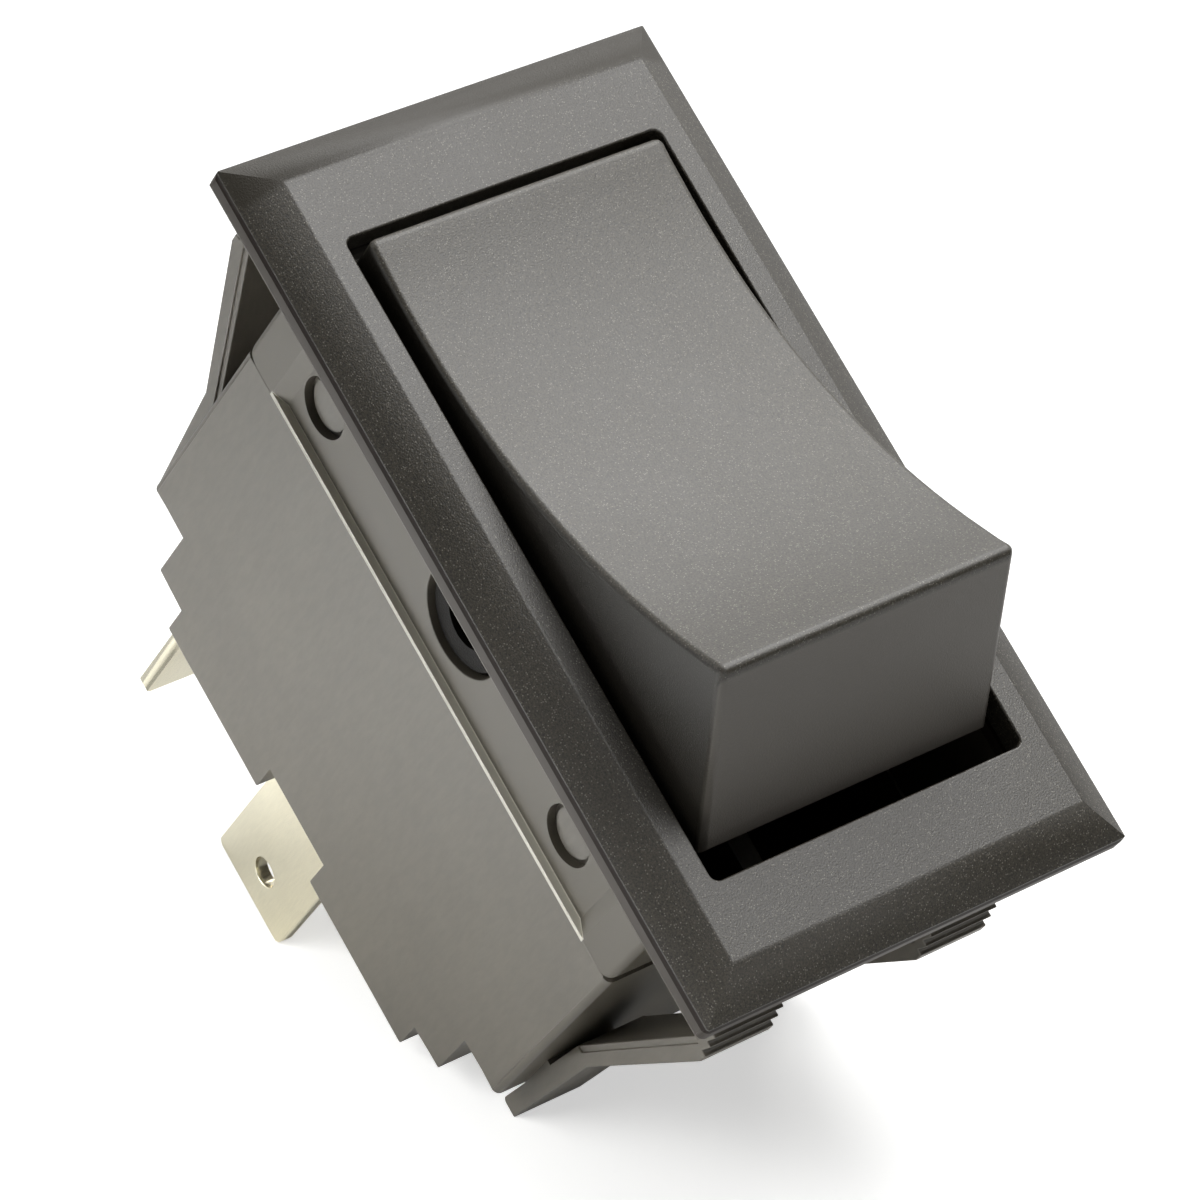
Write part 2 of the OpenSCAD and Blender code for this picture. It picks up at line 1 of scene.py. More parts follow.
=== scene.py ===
"""Looks of a two-pole panel rocker switch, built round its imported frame.

All lengths are metres in the switch's own frame: +Z out of the panel to the user,
+X to the raised end of the rocker, and z = 0 on the face of the panel.
"""
import logging
import math
from dataclasses import dataclass, field
from enum import Enum

import bmesh
import bpy
import numpy as np
from mathutils import Matrix, Vector


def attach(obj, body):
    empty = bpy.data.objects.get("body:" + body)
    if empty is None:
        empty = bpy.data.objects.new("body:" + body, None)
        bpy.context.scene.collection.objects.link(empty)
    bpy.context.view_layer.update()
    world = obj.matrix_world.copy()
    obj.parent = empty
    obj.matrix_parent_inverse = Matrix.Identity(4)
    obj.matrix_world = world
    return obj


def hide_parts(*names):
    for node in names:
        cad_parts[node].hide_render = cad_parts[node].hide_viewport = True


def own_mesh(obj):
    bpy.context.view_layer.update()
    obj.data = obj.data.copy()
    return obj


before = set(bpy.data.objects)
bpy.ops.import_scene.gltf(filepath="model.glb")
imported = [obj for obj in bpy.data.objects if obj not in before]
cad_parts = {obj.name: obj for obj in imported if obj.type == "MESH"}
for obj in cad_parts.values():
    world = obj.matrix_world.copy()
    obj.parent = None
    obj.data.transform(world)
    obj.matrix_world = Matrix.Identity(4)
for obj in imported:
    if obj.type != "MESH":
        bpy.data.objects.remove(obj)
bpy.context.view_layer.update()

log = logging.getLogger("rocker_switch")

MM = 0.001
# A corner at this distance in mm, past every piece, sets no limit on that side.
FAR = 99.0
# How far a fleck reaches in its cell, from which random value a cell has one, and both soft edges.
FLECK_REACH, FLECK_REACH_SOFT = 0.35, 0.12
FLECK_FROM, FLECK_FROM_SOFT = 0.73, 0.03


# ---- Small helpers ----


def linear(code: str) -> tuple[float, float, float, float]:
    """Turns an sRGB hex colour into linear red, green, blue and alpha.

    Args:
        code: six hex digits, with or without a leading #.

    Returns:
        The linear colour: a channel up to 0.04045 is divided by 12.92, and a higher one is
        ((c + 0.055) / 1.055) to the power 2.4.
    """
    digits = code.lstrip("#")
    srgb = np.array([int(digits[i:i + 2], 16) for i in (0, 2, 4)]) / 255
    rgb = np.where(srgb <= 0.04045, srgb / 12.92, ((srgb + 0.055) / 1.055) ** 2.4)
    return float(rgb[0]), float(rgb[1]), float(rgb[2]), 1.0


def add_node(
    tree: bpy.types.NodeTree, kind: str, links: dict | None = None, **settings: object
) -> bpy.types.Node:
    """Adds one shader node with its settings and incoming links.

    Args:
        tree: the node tree that gets the node.
        kind: the node's type name, such as "ShaderNodeTexNoise".
        links: input name or number to the output socket that feeds it.
        settings: input names, with _ for a space, to constant values, or node properties.

    Returns:
        The new node.
    """
    node = tree.nodes.new(kind)
    for key, value in settings.items():
        if hasattr(node, key):
            setattr(node, key, value)
        else:
            node.inputs[key.replace("_", " ")].default_value = value
    for key, socket in (links or {}).items():
        tree.links.new(socket, node.inputs[key])
    return node


def mesh_object(name: str, verts: np.ndarray, faces: np.ndarray, smooth: bool = True) -> bpy.types.Object:
    """Puts whole arrays of corners and faces into a new object at the origin.

    Args:
        name: the object's name.
        verts: corners, one row of x, y, z each, in metres.
        faces: four corner numbers a face, one row each.
        smooth: whether the faces are shaded smooth.

    Returns:
        The new object, linked to the scene.
    """
    mesh = bpy.data.meshes.new(name)
    mesh.from_pydata(verts.tolist(), [], faces.tolist())
    mesh.polygons.foreach_set("use_smooth", np.full(len(mesh.polygons), smooth))
    mesh.update()
    obj = bpy.data.objects.new(name, mesh)
    bpy.context.scene.collection.objects.link(obj)
    return obj


# ---- Finishes ----


class Grain(Enum):
    """How a face was left by its tool: the scale of its pattern along X, Y and Z."""

    SPARK_ERODED = (1.0, 1.0, 1.0)
    POLISHED_TOOL = (1.0, 1.0, 0.25)
    STAMPED = (1.0, 1.0, 0.12)
    ROLLED = (0.15, 1.0, 1.0)


@dataclass(frozen=True)
class Patch:
    """A region of painted light and shade: another colour and gloss, between two corners in mm.

    y counts from the middle plane to both sides.
    """

    hex_colour: str
    low: tuple[float, float, float]
    high: tuple[float, float, float]
    share: float = 1.0
    gloss: float = 1.0
    soft_mm: float = 0.04


@dataclass(frozen=True)
class Finish:
    """One material: what it is, how it was made, and the values that show it."""

    name: str
    hex_colour: str
    roughness: float
    grain: Grain
    ior: float = 1.5
    metallic: float = 0.0
    grain_mm: float = 0.2
    bump_mm: float = 0.01
    mottle: float = 0.0
    fleck_hex: str = ""
    roughness_spread: float = 0.02
    grain_above_mm: float = -FAR
    patches: tuple[Patch, ...] = ()

    def build(self) -> bpy.types.Material:
        """Builds the node tree of this finish.

        Returns:
            The new material.
        """
        material = bpy.data.materials.new(self.name)
        material.use_nodes = True
        tree = material.node_tree
        tree.nodes.clear()
        place = add_node(tree, "ShaderNodeTexCoord").outputs["Object"]
        grained = self._step(tree, self._parts(tree, place)[2], self.grain_above_mm * MM, 0.03 * MM)
        fine, broad = self._patterns(tree, place)
        height = self._times(tree, fine, grained)
        colour, gloss = self._patched(tree, place, self._colour(tree, place, height, broad, grained))
        rough = add_node(
            tree, "ShaderNodeMapRange", {"Value": broad},
            From_Min=0.3, From_Max=0.7,
            To_Min=self.roughness - self.roughness_spread, To_Max=self.roughness + self.roughness_spread,
        )
        bump = add_node(tree, "ShaderNodeBump", {"Height": height}, Strength=0.7, Distance=self.bump_mm * MM)
        shader = add_node(
            tree, "ShaderNodeBsdfPrincipled",
            {"Base Color": colour, "Roughness": rough.outputs["Result"], "Normal": bump.outputs["Normal"]},
            Metallic=self.metallic, IOR=self.ior,
        )
        if gloss:
            tree.links.new(gloss, shader.inputs["Specular IOR Level"])
        add_node(tree, "ShaderNodeOutputMaterial", {"Surface": shader.outputs["BSDF"]})
        return material

    @staticmethod
    def _parts(tree: bpy.types.NodeTree, place: bpy.types.NodeSocket) -> tuple[bpy.types.NodeSocket, ...]:
        """Splits the place into x, the distance from the middle plane, and z.

        Args:
            tree: the material's node tree.
            place: the coordinates of the surface.

        Returns:
            The three outputs.
        """
        split = add_node(tree, "ShaderNodeSeparateXYZ", {0: place})
        off = add_node(tree, "ShaderNodeMath", {0: split.outputs[1]}, operation="ABSOLUTE")
        return split.outputs[0], off.outputs[0], split.outputs[2]

    @staticmethod
    def _times(
        tree: bpy.types.NodeTree, first: bpy.types.NodeSocket, second: bpy.types.NodeSocket
    ) -> bpy.types.NodeSocket:
        """Multiplies two outputs."""
        return add_node(tree, "ShaderNodeMath", {0: first, 1: second}, operation="MULTIPLY").outputs[0]

    @staticmethod
    def _step(
        tree: bpy.types.NodeTree, value: bpy.types.NodeSocket, at: float, soft: float, falling: bool = False
    ) -> bpy.types.NodeSocket:
        """Adds a soft step from 0 to 1, or from 1 to 0, as an output passes a value.

        Args:
            tree: the material's node tree.
            value: the output that is followed.
            at: where the step is half way.
            soft: half the width of the step.
            falling: whether it falls from 1 to 0.

        Returns:
            The output of the step.
        """
        ends = (1.0, 0.0) if falling else (0.0, 1.0)
        step = add_node(
            tree, "ShaderNodeMapRange", {"Value": value},
            From_Min=at - soft, From_Max=at + soft, To_Min=ends[0], To_Max=ends[1],
        )
        return step.outputs["Result"]

    def _patterns(
        self, tree: bpy.types.NodeTree, place: bpy.types.NodeSocket
    ) -> tuple[bpy.types.NodeSocket, bpy.types.NodeSocket]:
        """Adds the fine pattern of the grain and the broad one of the material's flow.

        Args:
            tree: the material's node tree.
            place: the coordinates that the patterns follow.

        Returns:
            The outputs of the fine and the broad pattern, from 0 to 1.
        """
        turned = add_node(tree, "ShaderNodeMapping", {"Vector": place}, vector_type="POINT")
        turned.inputs["Scale"].default_value = self.grain.value
        fine = add_node(
            tree, "ShaderNodeTexNoise", {"Vector": turned.outputs["Vector"]},
            Scale=1 / (self.grain_mm * MM), Detail=2.0, Roughness=0.6,
        )
        broad = add_node(tree, "ShaderNodeTexNoise", {"Vector": place}, Scale=1 / (9 * MM), Detail=3.0)
        return fine.outputs["Fac"], broad.outputs["Fac"]

    def _colour(
        self, tree: bpy.types.NodeTree, place: bpy.types.NodeSocket, fine: bpy.types.NodeSocket,
        broad: bpy.types.NodeSocket, grained: bpy.types.NodeSocket,
    ) -> bpy.types.NodeSocket:
        """Adds the base colour: lighter and darker with the flow, mottled by the grain, with flecks.

        A fleck is the middle of a small cell of a cell pattern, in the few cells whose own
        random value is high.

        Args:
            tree: the material's node tree.
            place: the coordinates of the surface.
            fine: the output of the fine pattern.
            broad: the output of the broad pattern.
            grained: 1 where the tool left its grain, 0 where it was polished.

        Returns:
            The output with the colour.
        """
        base = linear(self.hex_colour)
        shade = add_node(tree, "ShaderNodeValToRGB", {"Fac": broad})
        for stop, (where, gain) in zip(shade.color_ramp.elements, ((0.3, 0.92), (0.7, 1.08))):
            stop.position = where
            stop.color = tuple(gain * c for c in base[:3]) + (1.0,)
        if not self.mottle:
            return shade.outputs["Color"]
        gain = add_node(
            tree, "ShaderNodeMapRange", {"Value": fine},
            From_Min=0.3, From_Max=0.7, To_Min=1 - self.mottle, To_Max=1 + self.mottle,
        )
        even = add_node(
            tree, "ShaderNodeMix", {"Factor": grained, "B": gain.outputs["Result"]}, data_type="FLOAT", A=1.0,
        )
        mottled = add_node(
            tree, "ShaderNodeVectorMath", {0: shade.outputs["Color"], "Scale": even.outputs[0]},
            operation="SCALE",
        )
        if not self.fleck_hex:
            return mottled.outputs[0]
        # The flecks are pale bits of the filler, and also painted glints of the grain.
        cells = add_node(tree, "ShaderNodeTexVoronoi", {"Vector": place}, Scale=1 / (self.grain_mm * MM))
        near = self._step(tree, cells.outputs["Distance"], FLECK_REACH, FLECK_REACH_SOFT, falling=True)
        few = self._step(tree, cells.outputs["Color"], FLECK_FROM, FLECK_FROM_SOFT)
        fleck = self._times(tree, self._times(tree, near, few), grained)
        mixed = add_node(tree, "ShaderNodeMix", {"Factor": fleck, 6: mottled.outputs[0]}, data_type="RGBA")
        mixed.inputs[7].default_value = linear(self.fleck_hex)
        return mixed.outputs[2]

    def _patched(
        self, tree: bpy.types.NodeTree, place: bpy.types.NodeSocket, colour: bpy.types.NodeSocket
    ) -> tuple[bpy.types.NodeSocket, bpy.types.NodeSocket | None]:
        """Lays every patch's colour, painted light and shade, over the base colour, and its gloss over the
        plain one of 0.5.

        Args:
            tree: the material's node tree.
            place: the coordinates of the surface.
            colour: the output with the base colour.

        Returns:
            The outputs with the patched colour and the gloss; no gloss where nothing is patched.
        """
        parts = self._parts(tree, place) if self.patches else ()
        gloss = None
        for patch in self.patches:
            mask = None
            for part, low, high in zip(parts, patch.low, patch.high):
                for at, falling in ((low, False), (high, True)):
                    if abs(at) >= FAR:
                        continue
                    step = self._step(tree, part, at * MM, patch.soft_mm * MM, falling)
                    mask = step if mask is None else self._times(tree, mask, step)
            shared = add_node(tree, "ShaderNodeMath", {0: mask}, operation="MULTIPLY")
            shared.inputs[1].default_value = patch.share
            mixed = add_node(
                tree, "ShaderNodeMix", {"Factor": shared.outputs[0], 6: colour}, data_type="RGBA",
            )
            mixed.inputs[7].default_value = linear(patch.hex_colour)
            colour = mixed.outputs[2]
            kept = add_node(
                tree, "ShaderNodeMix", {"Factor": shared.outputs[0]},
                data_type="FLOAT", A=0.5, B=0.5 * patch.gloss,
            )
            if gloss:
                tree.links.new(gloss, kept.inputs["A"])
            gloss = kept.outputs[0]
        return colour, gloss


# Glass-filled nylon, moulded in a tool whose upper part was spark-eroded: a matt grain of about
# 0.09 mm with tiny bright flecks, pale bits of the filler that also serve as painted glints of
# the grain. The patches are, in order: the smooth part below the bevel, lighter as a painted
# reflection of the bright table; the lip, darker as painted shade; the dark line at the bevel's
# foot, painted shade; the far bevel, its gloss cut as painted shade; and the pale line along the
# ledge under each sunk panel, a painted highlight. It is one plastic: the patches' tones were set
# by eye for the main view, and their cause on the real moulding isn't known. It is one plastic:
# the patches' tones were set for the main view, and are painted light and shade, not marks of the
# real moulding.
FRAME_NYLON = Finish(
    "nylon_spark_eroded_black", "#3a362e", 0.42, Grain.SPARK_ERODED,
    ior=1.6, fleck_hex="#858177", grain_mm=0.09, bump_mm=0.03, mottle=0.75, grain_above_mm=1.24,
    patches=(
        Patch("#5f5a4f", (-FAR, -FAR, -FAR), (FAR, FAR, 0.92)),
        Patch("#3a322c", (-FAR, -FAR, 0.28), (FAR, FAR, 0.92), 0.9, 0.4),
        Patch("#241b17", (-FAR, -FAR, 0.92), (FAR, FAR, 1.24), 0.95, 0.12),
        Patch("#3a362e", (-FAR, -FAR, 1.26), (-20.9, FAR, 2.6), 1.0, 0.55, 0.2),
        Patch("#e4e1d4", (-15.2, 9.9, -8.2), (15.2, FAR, -7.9), soft_mm=0.03),
    ),
)
# The same nylon on the rocker, with a slightly softer grain. The patches are painted light and
# shade, their tones set for the main view: the raised end lighter, a painted reflection of the
# bright table; the long sides darker, painted shade; and the pivot pins near black, painted shade
# deep in their holes.
ROCKER_NYLON = Finish(
    "nylon_spark_eroded_rocker", "#413d34", 0.44, Grain.SPARK_ERODED,
    ior=1.6, fleck_hex="#858177", grain_mm=0.09, bump_mm=0.026, mottle=0.7,
    patches=(
        Patch("#76716a", (10.8, -FAR, -FAR), (FAR, 8.6, FAR), 0.9, soft_mm=0.06),
        Patch("#2a2722", (-FAR, 8.6, -FAR), (FAR, FAR, FAR), gloss=0.5, soft_mm=0.06),
        Patch("#100e0c", (-FAR, 8.8, -FAR), (FAR, FAR, FAR), gloss=0.15),
    ),
)
# Nylon from a plain polished tool: smoother, with faint lines along the way the tool opened.
# Its colour is lighter than the frame's nylon: painted light for the bright table that its glossy
# sides mirror. The patch is the base's side of the pale line, a painted highlight.
BASE_NYLON = Finish(
    "nylon_moulded_smooth", "#69645a", 0.34, Grain.POLISHED_TOOL,
    ior=1.6, grain_mm=0.3, bump_mm=0.002, mottle=0.06,
    patches=(Patch("#e4e1d4", (-15.2, 10.3, -8.24), (15.2, FAR, -8.0), soft_mm=0.03),),
)
# Brass strip with a tin plating, stamped to shape: pale and silky, with lines along the strip.
TIN_ON_BRASS = Finish(
    "brass_tin_plated", "#efe9d2", 0.24, Grain.STAMPED,
    metallic=1.0, grain_mm=0.12, bump_mm=0.002, mottle=0.03,
)
# Rolled copper alloy for the contact arms: warm, with fine rolling lines.
ROLLED_COPPER = Finish(
    "copper_alloy_rolled", "#c98f66", 0.3, Grain.ROLLED,
    metallic=1.0, grain_mm=0.1, bump_mm=0.003,
)
# Silver alloy of the contact faces: bright, slightly dulled by wear.
CONTACT_SILVER = Finish(
    "silver_alloy_turned", "#dcdcd6", 0.24, Grain.ROLLED,
    metallic=1.0, grain_mm=0.08, bump_mm=0.002,
)
# Hard-drawn spring wire: grey steel with draw lines.
SPRING_WIRE = Finish(
    "spring_steel_drawn", "#a9aaab", 0.3, Grain.STAMPED,
    metallic=1.0, grain_mm=0.06, bump_mm=0.002,
)
# Acetal rod of the plungers: creamy, with a soft sheen.
PLUNGER_ACETAL = Finish(
    "acetal_moulded_natural", "#ddd4b8", 0.35, Grain.POLISHED_TOOL,
    ior=1.48, grain_mm=0.3, bump_mm=0.003,
)


# ---- Pieces ----


class Axis(Enum):
    """Direction of an edge in its piece's own frame."""

    X = 0
    Y = 1
    Z = 2
    ANY = -1


@dataclass(frozen=True)
class EdgeRound:
    """One rounding for the outward edges between two corners, given in mm in the piece's own frame.

    The rounding is how far its curve reaches in from the edge on each face.
    """

    reach_mm: float
    low: tuple[float, float, float] = (-FAR, -FAR, -FAR)
    high: tuple[float, float, float] = (FAR, FAR, FAR)
    along: Axis = Axis.ANY


@dataclass
class FinishedShell:
    """A rigid moulding or stamping with the small radii that its tool leaves on its edges.

    The piece's own frame is the switch's, or one turned by turn_deg about Y at the height pivot_mm.
    """

    name: str
    node: str
    body: str
    slot: str
    finish: Finish
    rounds: tuple[EdgeRound, ...]
    turn_deg: float = 0.0
    pivot_mm: float = 0.0
    segments: int = 4
    flat_deg: float = 0.5
    edge_deg: float = 20.0
    parallel: float = 0.999

    def merged_mesh(self) -> tuple[bpy.types.Mesh, np.ndarray]:
        """Copies the solid's mesh, merges its doubles and joins its flat faces.

        Returns:
            The new mesh, and for every edge the angle between its faces in degrees, which is
            positive where the edge points outwards.
        """
        work = bmesh.new()
        work.from_mesh(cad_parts[self.node].data)
        bmesh.ops.remove_doubles(work, verts=work.verts, dist=0.002 * MM)
        bmesh.ops.dissolve_limit(
            work, angle_limit=math.radians(self.flat_deg), verts=work.verts, edges=work.edges,
        )
        angles = np.degrees([edge.calc_face_angle_signed(0.0) for edge in work.edges])
        mesh = bpy.data.meshes.new(self.name)
        work.to_mesh(mesh)
        work.free()
        return mesh, angles

    def edge_ends(self, mesh: bpy.types.Mesh) -> np.ndarray:
        """Reads where every edge starts and ends, in mm in the piece's own frame.

        Args:
            mesh: the merged mesh.

        Returns:
            One row of two points for every edge.
        """
        points = np.empty(3 * len(mesh.vertices))
        mesh.vertices.foreach_get("co", points)
        points = points.reshape(-1, 3) / MM - (0.0, 0.0, self.pivot_mm)
        turn = math.radians(self.turn_deg)
        across, up = points[:, 0].copy(), points[:, 2].copy()
        points[:, 0] = across * math.cos(turn) + up * math.sin(turn)
        points[:, 2] = up * math.cos(turn) - across * math.sin(turn)
        pairs = np.empty(2 * len(mesh.edges), dtype=int)
        mesh.edges.foreach_get("vertices", pairs)
        return points[pairs.reshape(-1, 2)]

    def edge_reach(self, ends: np.ndarray, angles: np.ndarray) -> np.ndarray:
        """Chooses the rounding of every edge; a later rounding wins over an earlier one.

        Args:
            ends: two points for every edge, in mm in the piece's own frame.
            angles: the signed angle of every edge, in degrees.

        Returns:
            The reach for every edge in mm, 0 where it stays sharp.
        """
        run = ends[:, 1] - ends[:, 0]
        run = np.abs(run) / np.maximum(np.linalg.norm(run, axis=1, keepdims=True), 1e-9)
        reach = np.zeros(len(ends))
        for choice in self.rounds:
            inside = np.all((ends >= choice.low) & (ends <= choice.high), axis=(1, 2))
            if choice.along is not Axis.ANY:
                inside &= run[:, choice.along.value] > self.parallel
            reach[inside & (angles > self.edge_deg)] = choice.reach_mm
        return reach

    def build(self) -> bpy.types.Object:
        """Builds the piece, rounds its edges and puts it in the place of its solid.

        Returns:
            The finished object.
        """
        mesh, angles = self.merged_mesh()
        obj = bpy.data.objects.new(self.name, mesh)
        bpy.context.scene.collection.objects.link(obj)
        reach = self.edge_reach(self.edge_ends(mesh), angles)
        widest = float(reach.max())
        weights = mesh.attributes.new("bevel_weight_edge", "FLOAT", "EDGE")
        weights.data.foreach_set("value", reach / widest)
        sharp = mesh.attributes.get("sharp_edge") or mesh.attributes.new("sharp_edge", "BOOLEAN", "EDGE")
        sharp.data.foreach_set("value", (np.abs(angles) > self.edge_deg) & (reach == 0))
        mesh.polygons.foreach_set("use_smooth", np.full(len(mesh.polygons), True))
        bevel = obj.modifiers.new("edge_radii", "BEVEL")
        bevel.width = widest * MM
        bevel.segments = self.segments
        bevel.limit_method = "WEIGHT"
        bevel.use_clamp_overlap = False
        normals = obj.modifiers.new("flat_faces_stay_flat", "WEIGHTED_NORMAL")
        normals.keep_sharp = True
        normals.weight = 100  # the largest faces keep their normals
        mesh.materials.clear()
        mesh.materials.append(self.finish.build())
        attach(obj, self.body)
        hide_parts(self.node)
        rounded = int((reach > 0).sum())
        log.info("%s: %d faces, %d rounded edges, on %s", self.name, len(mesh.polygons), rounded, self.body)
        return obj


@dataclass
class DressedNodes:
    """Solids whose shape is right as packed and which only get their finish."""

    nodes: tuple[str, ...]
    finish: Finish

    def build(self) -> None:
        """Puts the finish on every solid of the group."""
        material = self.finish.build()
        for name in self.nodes:
            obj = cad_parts[name]
            obj.data.materials.clear()
            obj.data.materials.append(material)
            log.info("%s: %s", name, self.finish.name)


@dataclass
class PlungerSpring:
    """A plunger's coil spring, which stands in the rocker."""

    side: str
    finish: Finish = SPRING_WIRE
    travel_mm: float = 1.2
    axis: tuple[float, float, float] = (-0.267238, 0.0, 0.963630)

    def build(self) -> bpy.types.Object:
        """Copies the spring's solid, gives it its finish and hangs it on the rocker.

        Returns:
            The finished object.
        """
        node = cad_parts[f"plunger_spring_{self.side}"]
        mesh = node.data.copy()
        mesh.transform(node.matrix_world)
        points = np.empty(3 * len(mesh.vertices))
        mesh.vertices.foreach_get("co", points)
        points = points.reshape(-1, 3)
        obj = bpy.data.objects.new(f"coil_spring_{self.side}", mesh)
        bpy.context.scene.collection.objects.link(obj)
        mesh.materials.clear()
        mesh.materials.append(self.finish.build())
        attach(obj, "rocker")
        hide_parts(node.name)
        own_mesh(obj)
        return obj


# The bezel: softly rounded face and bevel edges, wide roundings on the mitres and small ones
# on the lip, the sunk panels and the rims of the holes.
FRAME_ROUNDS = (
    EdgeRound(0.30, (-24, -13, 1.31), (24, 13, 2.8)),
    EdgeRound(0.06, (-24, -13, -0.1), (24, 13, 1.0), Axis.X),
    EdgeRound(0.06, (-24, -13, -0.1), (24, 13, 1.0), Axis.Y),
    EdgeRound(0.10, (-24, -13, 1.2), (24, 13, 2.8), Axis.X),
    EdgeRound(0.10, (-24, -13, 1.2), (24, 13, 2.8), Axis.Y),
    EdgeRound(0.12, (-17.5, -9.4, 2.6), (17.5, 9.4, 2.8)),
    EdgeRound(0.10, (-15.3, -10.5, -8.0), (15.3, -9.9, -0.2), Axis.Z),
    EdgeRound(0.10, (-15.3, 9.9, -8.0), (15.3, 10.5, -0.2), Axis.Z),
    EdgeRound(0.06, (-3, -10.1, -7), (3, -9.9, -0.5)),
    EdgeRound(0.06, (-3, 9.9, -7), (3, 10.1, -0.5)),
)
# The base: its stepped outline is rounded along Y, and its joint with the frame is broken
# by a small radius.
BASE_ROUNDS = (
    EdgeRound(0.06, (17.9, -9, -26), (24, 9, -2)),
    EdgeRound(0.06, (-24, -9, -26), (-17.9, 9, -2)),
    EdgeRound(0.12, (-18, -10.5, -29), (18, -10.3, -8), Axis.X),
    EdgeRound(0.12, (-18, 10.3, -29), (18, 10.5, -8), Axis.X),
    EdgeRound(0.30, (-18, -10.5, -29), (18, 10.5, -22), Axis.Y),
)
# The rocker, in its own level frame: generous radii on its face's long edges, its ends and
# its upright corners.
ROCKER_ROUNDS = (
    EdgeRound(0.35, (-18, -8.7, 8.0), (18, -8.6, 11.7)),
    EdgeRound(0.35, (-18, 8.6, 8.0), (18, 8.7, 11.7)),
    EdgeRound(0.35, (-18, -8.7, 11.5), (18, 8.7, 11.7), Axis.Y),
    EdgeRound(0.45, (-18, -8.7, 0.5), (-13, 8.7, 11.7)),
    EdgeRound(0.45, (13, -8.7, 0.5), (18, 8.7, 11.7)),
)
# The blades: stamped, with a small roll-over along their edges.
BLADE_ROUNDS = (EdgeRound(0.07, (-FAR, -FAR, -38), (FAR, FAR, -26)),)


@dataclass
class Switch:
    """The whole switch: mouldings, terminals and the mechanism inside."""

    shells: list[FinishedShell] = field(default_factory=lambda: [
        FinishedShell("frame_moulding", "bezel_frame", "housing", "frame_nylon", FRAME_NYLON, FRAME_ROUNDS),
        FinishedShell("base_moulding", "base_housing", "housing", "base_nylon", BASE_NYLON, BASE_ROUNDS),
        FinishedShell(
            "rocker_moulding", "rocker", "rocker", "rocker_nylon", ROCKER_NYLON, ROCKER_ROUNDS,
            turn_deg=15.5, pivot_mm=-3.85,
        ),
    ] + [
        FinishedShell(
            f"{kind}_blade_{side}", f"{kind}_terminal_{side}", "housing", "plated_brass",
            TIN_ON_BRASS, BLADE_ROUNDS,
        )
        for kind in ("common", "end") for side in ("left", "right")
    ])

    def build(self) -> None:
        """Builds the mouldings and the blades and dresses the other metal parts and the plungers."""
        for piece in self.shells:
            piece.build()
        sides = ("left", "right")
        for side in sides:
            PlungerSpring(side).build()
        for names, finish in (
            (("contact_arm",), ROLLED_COPPER),
            (("arm_contact", "fixed_contact"), CONTACT_SILVER),
            (("plunger",), PLUNGER_ACETAL),
        ):
            DressedNodes(tuple(f"{n}_{s}" for n in names for s in sides), finish).build()


# ---- Stage ----


@dataclass(frozen=True)
class Softbox:
    """One square soft lamp, given in the table's own directions.

    It faces the switch, or straight down where it only lights the paper beside it.
    """

    name: str
    right: float
    away: float
    up: float
    size: float
    power: float
    down: bool = False
    spread_deg: float = 180.0


@dataclass(frozen=True)
class DarkCard:
    """One square black card that keeps light off the switch, given in the table's own directions.

    It faces the switch, and the camera sees through it.
    """

    name: str
    right: float
    away: float
    up: float
    size: float


